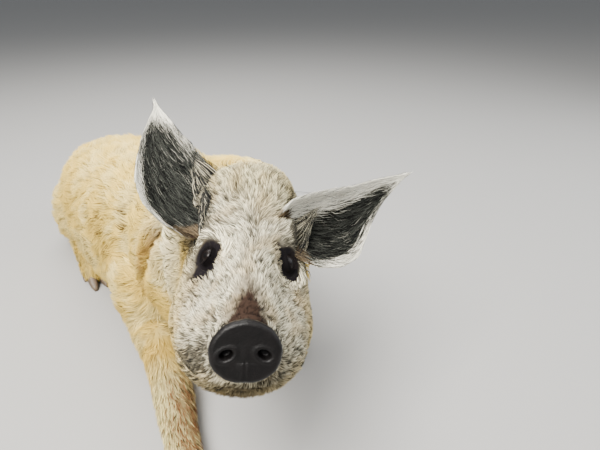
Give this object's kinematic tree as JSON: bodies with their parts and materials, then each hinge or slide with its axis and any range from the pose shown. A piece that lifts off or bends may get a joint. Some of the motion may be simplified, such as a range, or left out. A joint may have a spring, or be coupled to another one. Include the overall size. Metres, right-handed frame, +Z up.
{
  "type": "mangalica pig, a life-size still model lying on its belly",
  "caption": "Life-size still model of a young blonde mangalica pig lying on its belly, head raised and one foreleg stretched forward.",
  "frame": {"origin": "on the floor under the middle of the trunk, on the flat that the belly rests on", "axes": "+Z up from the floor, -Y towards the head, +Y towards the tail, -X to the pig's right side"},
  "size_m": [0.4668, 1.2962, 0.5645],
  "materials": {
    "coat": "matte",
    "face": "matte",
    "ear": "matte",
    "snout": "satin",
    "eye": "gloss",
    "claw": "satin"
  },
  "bodies": {
    "root": {"claw_fore_left_inner": "claw", "claw_fore_left_outer": "claw", "claw_fore_right_inner": "claw", "claw_fore_right_outer": "claw", "claw_hind_left_inner": "claw", "claw_hind_left_outer": "claw", "claw_hind_right_inner": "claw", "claw_hind_right_outer": "claw", "dewclaw_fore_left_inner": "claw", "dewclaw_fore_left_outer": "claw", "dewclaw_fore_right_inner": "claw", "dewclaw_fore_right_outer": "claw", "dewclaw_hind_left_inner": "claw", "dewclaw_hind_left_outer": "claw", "dewclaw_hind_right_inner": "claw", "dewclaw_hind_right_outer": "claw", "ear_left": "ear", "ear_right": "ear", "eye_left": "eye", "eye_right": "eye", "forefoot_left": "face", "forefoot_right": "face", "foreleg_left": "coat", "foreleg_right": "coat", "head": "face", "hindleg_left": "face", "hindleg_right": "face", "neck": "coat", "snout": "snout", "tail": "coat", "torso": "coat"}
  },
  "joints": []
}
